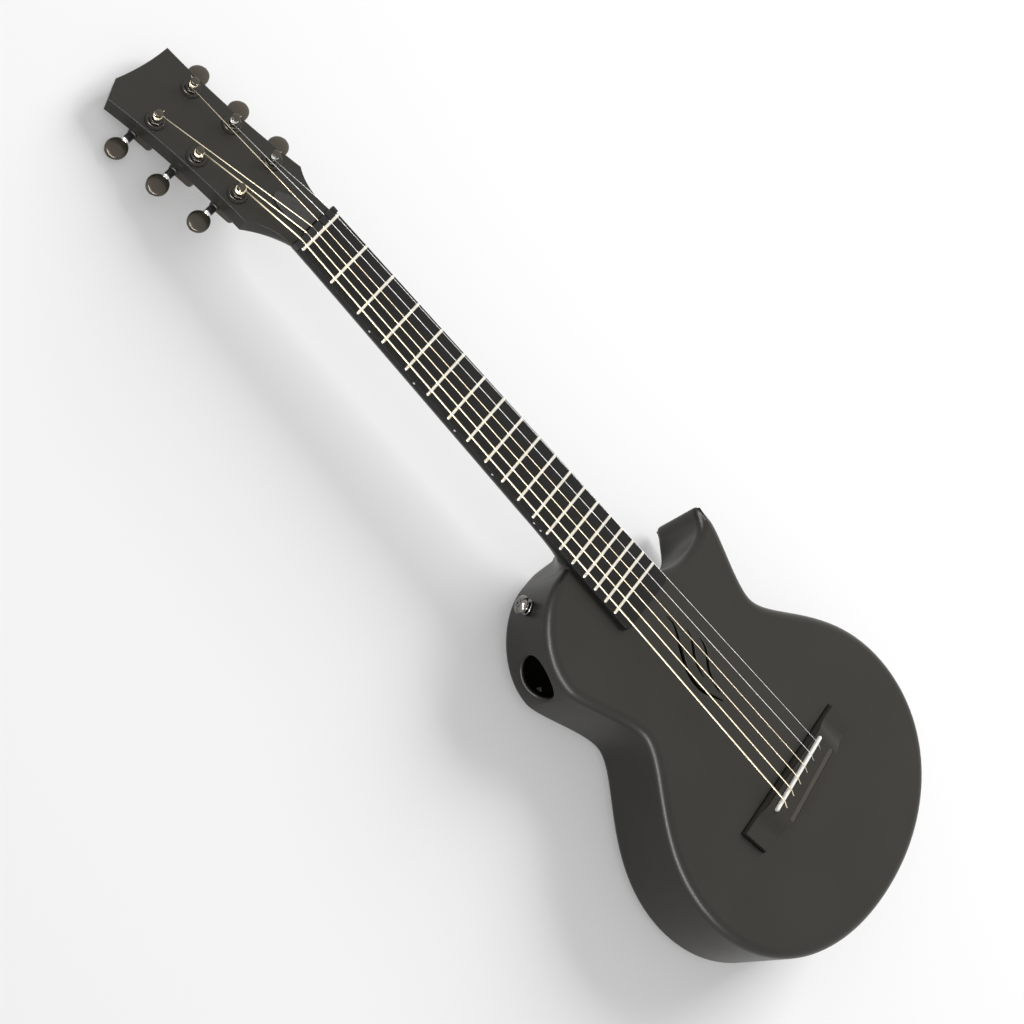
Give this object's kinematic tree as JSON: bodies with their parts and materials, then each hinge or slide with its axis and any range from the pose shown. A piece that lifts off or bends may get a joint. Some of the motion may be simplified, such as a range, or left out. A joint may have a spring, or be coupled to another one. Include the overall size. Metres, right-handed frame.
{
  "type": "travel acoustic guitar",
  "caption": "Small acoustic guitar with a moulded body, deep cutaway, sweeping sound slots, a side sound port, zero fret, tilted headstock and geared tuners.",
  "frame": {"origin": "on the floor plane under the middle of the bounding box, the guitar lying on its back", "axes": "+Y along the strings towards the head, +X towards the cutaway side, +Z out of the front"},
  "size_m": [0.2948, 0.904, 0.0914],
  "materials": {
    "body": "matte charcoal, fine mould texture",
    "back": "matte charcoal, fine mould texture",
    "fretboard": "satin near-black composite",
    "nut": "satin black",
    "bridge": "satin near-black",
    "saddle": "polished off-white",
    "frets": "polished",
    "wound_strings": "wound bronze",
    "plain_strings": "bright",
    "tuners": "black chrome",
    "rod_steel": "plain",
    "rod_cover": "semi-gloss, bare",
    "strap_buttons": "polished"
  },
  "bodies": {
    "guitar": {"body_shell": "body", "back_cover": "back", "fretboard": "fretboard", "nut": "nut", "bridge": "bridge", "saddle": "saddle", "truss_rod": "rod_steel", "truss_rod_cover": "rod_cover", "fret_00": "frets", "fret_01": "frets", "fret_02": "frets", "fret_03": "frets", "fret_04": "frets", "fret_05": "frets", "fret_06": "frets", "fret_07": "frets", "fret_08": "frets", "fret_09": "frets", "fret_10": "frets", "fret_11": "frets", "fret_12": "frets", "fret_13": "frets", "fret_14": "frets", "fret_15": "frets", "fret_16": "frets", "fret_17": "frets", "fret_18": "frets", "string_low_e": "wound_strings", "string_a": "wound_strings", "string_d": "wound_strings", "string_g": "wound_strings", "string_b": "plain_strings", "string_high_e": "plain_strings", "strap_button_side": "strap_buttons", "strap_button_tail": "strap_buttons", "low_e_tuner_housing": "tuners", "low_e_tuner_bushing": "tuners", "a_tuner_housing": "tuners", "a_tuner_bushing": "tuners", "d_tuner_housing": "tuners", "d_tuner_bushing": "tuners", "g_tuner_housing": "tuners", "g_tuner_bushing": "tuners", "b_tuner_housing": "tuners", "b_tuner_bushing": "tuners", "high_e_tuner_housing": "tuners", "high_e_tuner_bushing": "tuners"},
    "truss_rod_nut": {"truss_rod_nut": "rod_steel"},
    "low_e_knob": {"low_e_tuner_button": "tuners"},
    "low_e_post": {"low_e_tuner_post": "tuners"},
    "a_knob": {"a_tuner_button": "tuners"},
    "a_post": {"a_tuner_post": "tuners"},
    "d_knob": {"d_tuner_button": "tuners"},
    "d_post": {"d_tuner_post": "tuners"},
    "g_knob": {"g_tuner_button": "tuners"},
    "g_post": {"g_tuner_post": "tuners"},
    "b_knob": {"b_tuner_button": "tuners"},
    "b_post": {"b_tuner_post": "tuners"},
    "high_e_knob": {"high_e_tuner_button": "tuners"},
    "high_e_post": {"high_e_tuner_post": "tuners"}
  },
  "joints": [
    {"name": "truss_rod_nut_turn", "type": "hinge", "parent": "guitar", "child": "truss_rod_nut", "pos_m": [0, 0.27952, 0.05548], "axis": [0, 0.9995, -0.0305], "range_deg": [-180, 180]},
    {"name": "low_e_knob_turn", "type": "hinge", "parent": "guitar", "child": "low_e_knob", "pos_m": [-0.0214, 0.33539, 0.02569], "axis": [1, 0, 0], "continuous": true},
    {"name": "low_e_post_turn", "type": "hinge", "parent": "guitar", "child": "low_e_post", "pos_m": [-0.0214, 0.33224, 0.04867], "axis": [0, 0.2461, 0.9692], "continuous": true, "deforming": ["string_low_e"]},
    {"name": "a_knob_turn", "type": "hinge", "parent": "guitar", "child": "a_knob", "pos_m": [-0.0214, 0.37454, 0.01575], "axis": [1, 0, 0], "continuous": true},
    {"name": "a_post_turn", "type": "hinge", "parent": "guitar", "child": "a_post", "pos_m": [-0.0214, 0.3714, 0.03873], "axis": [0, 0.2461, 0.9692], "continuous": true, "deforming": ["string_a"]},
    {"name": "d_knob_turn", "type": "hinge", "parent": "guitar", "child": "d_knob", "pos_m": [-0.0214, 0.4137, 0.0058], "axis": [1, 0, 0], "continuous": true},
    {"name": "d_post_turn", "type": "hinge", "parent": "guitar", "child": "d_post", "pos_m": [-0.0214, 0.41056, 0.02878], "axis": [0, 0.2461, 0.9692], "continuous": true, "deforming": ["string_d"]},
    {"name": "g_knob_turn", "type": "hinge", "parent": "guitar", "child": "g_knob", "pos_m": [0.0214, 0.4137, 0.0058], "axis": [1, 0, 0], "continuous": true},
    {"name": "g_post_turn", "type": "hinge", "parent": "guitar", "child": "g_post", "pos_m": [0.0214, 0.41056, 0.02878], "axis": [0, 0.2461, 0.9692], "continuous": true, "deforming": ["string_g"]},
    {"name": "b_knob_turn", "type": "hinge", "parent": "guitar", "child": "b_knob", "pos_m": [0.0214, 0.37454, 0.01575], "axis": [1, 0, 0], "continuous": true},
    {"name": "b_post_turn", "type": "hinge", "parent": "guitar", "child": "b_post", "pos_m": [0.0214, 0.3714, 0.03873], "axis": [0, 0.2461, 0.9692], "continuous": true, "deforming": ["string_b"]},
    {"name": "high_e_knob_turn", "type": "hinge", "parent": "guitar", "child": "high_e_knob", "pos_m": [0.0214, 0.33539, 0.02569], "axis": [1, 0, 0], "continuous": true},
    {"name": "high_e_post_turn", "type": "hinge", "parent": "guitar", "child": "high_e_post", "pos_m": [0.0214, 0.33224, 0.04867], "axis": [0, 0.2461, 0.9692], "continuous": true, "deforming": ["string_high_e"]}
  ],
  "couplings": [
    {"joint": "low_e_post_turn", "follows": "low_e_knob_turn", "ratio": -0.055556},
    {"joint": "a_post_turn", "follows": "a_knob_turn", "ratio": -0.055556},
    {"joint": "d_post_turn", "follows": "d_knob_turn", "ratio": -0.055556},
    {"joint": "g_post_turn", "follows": "g_knob_turn", "ratio": 0.055556},
    {"joint": "b_post_turn", "follows": "b_knob_turn", "ratio": 0.055556},
    {"joint": "high_e_post_turn", "follows": "high_e_knob_turn", "ratio": 0.055556}
  ]
}
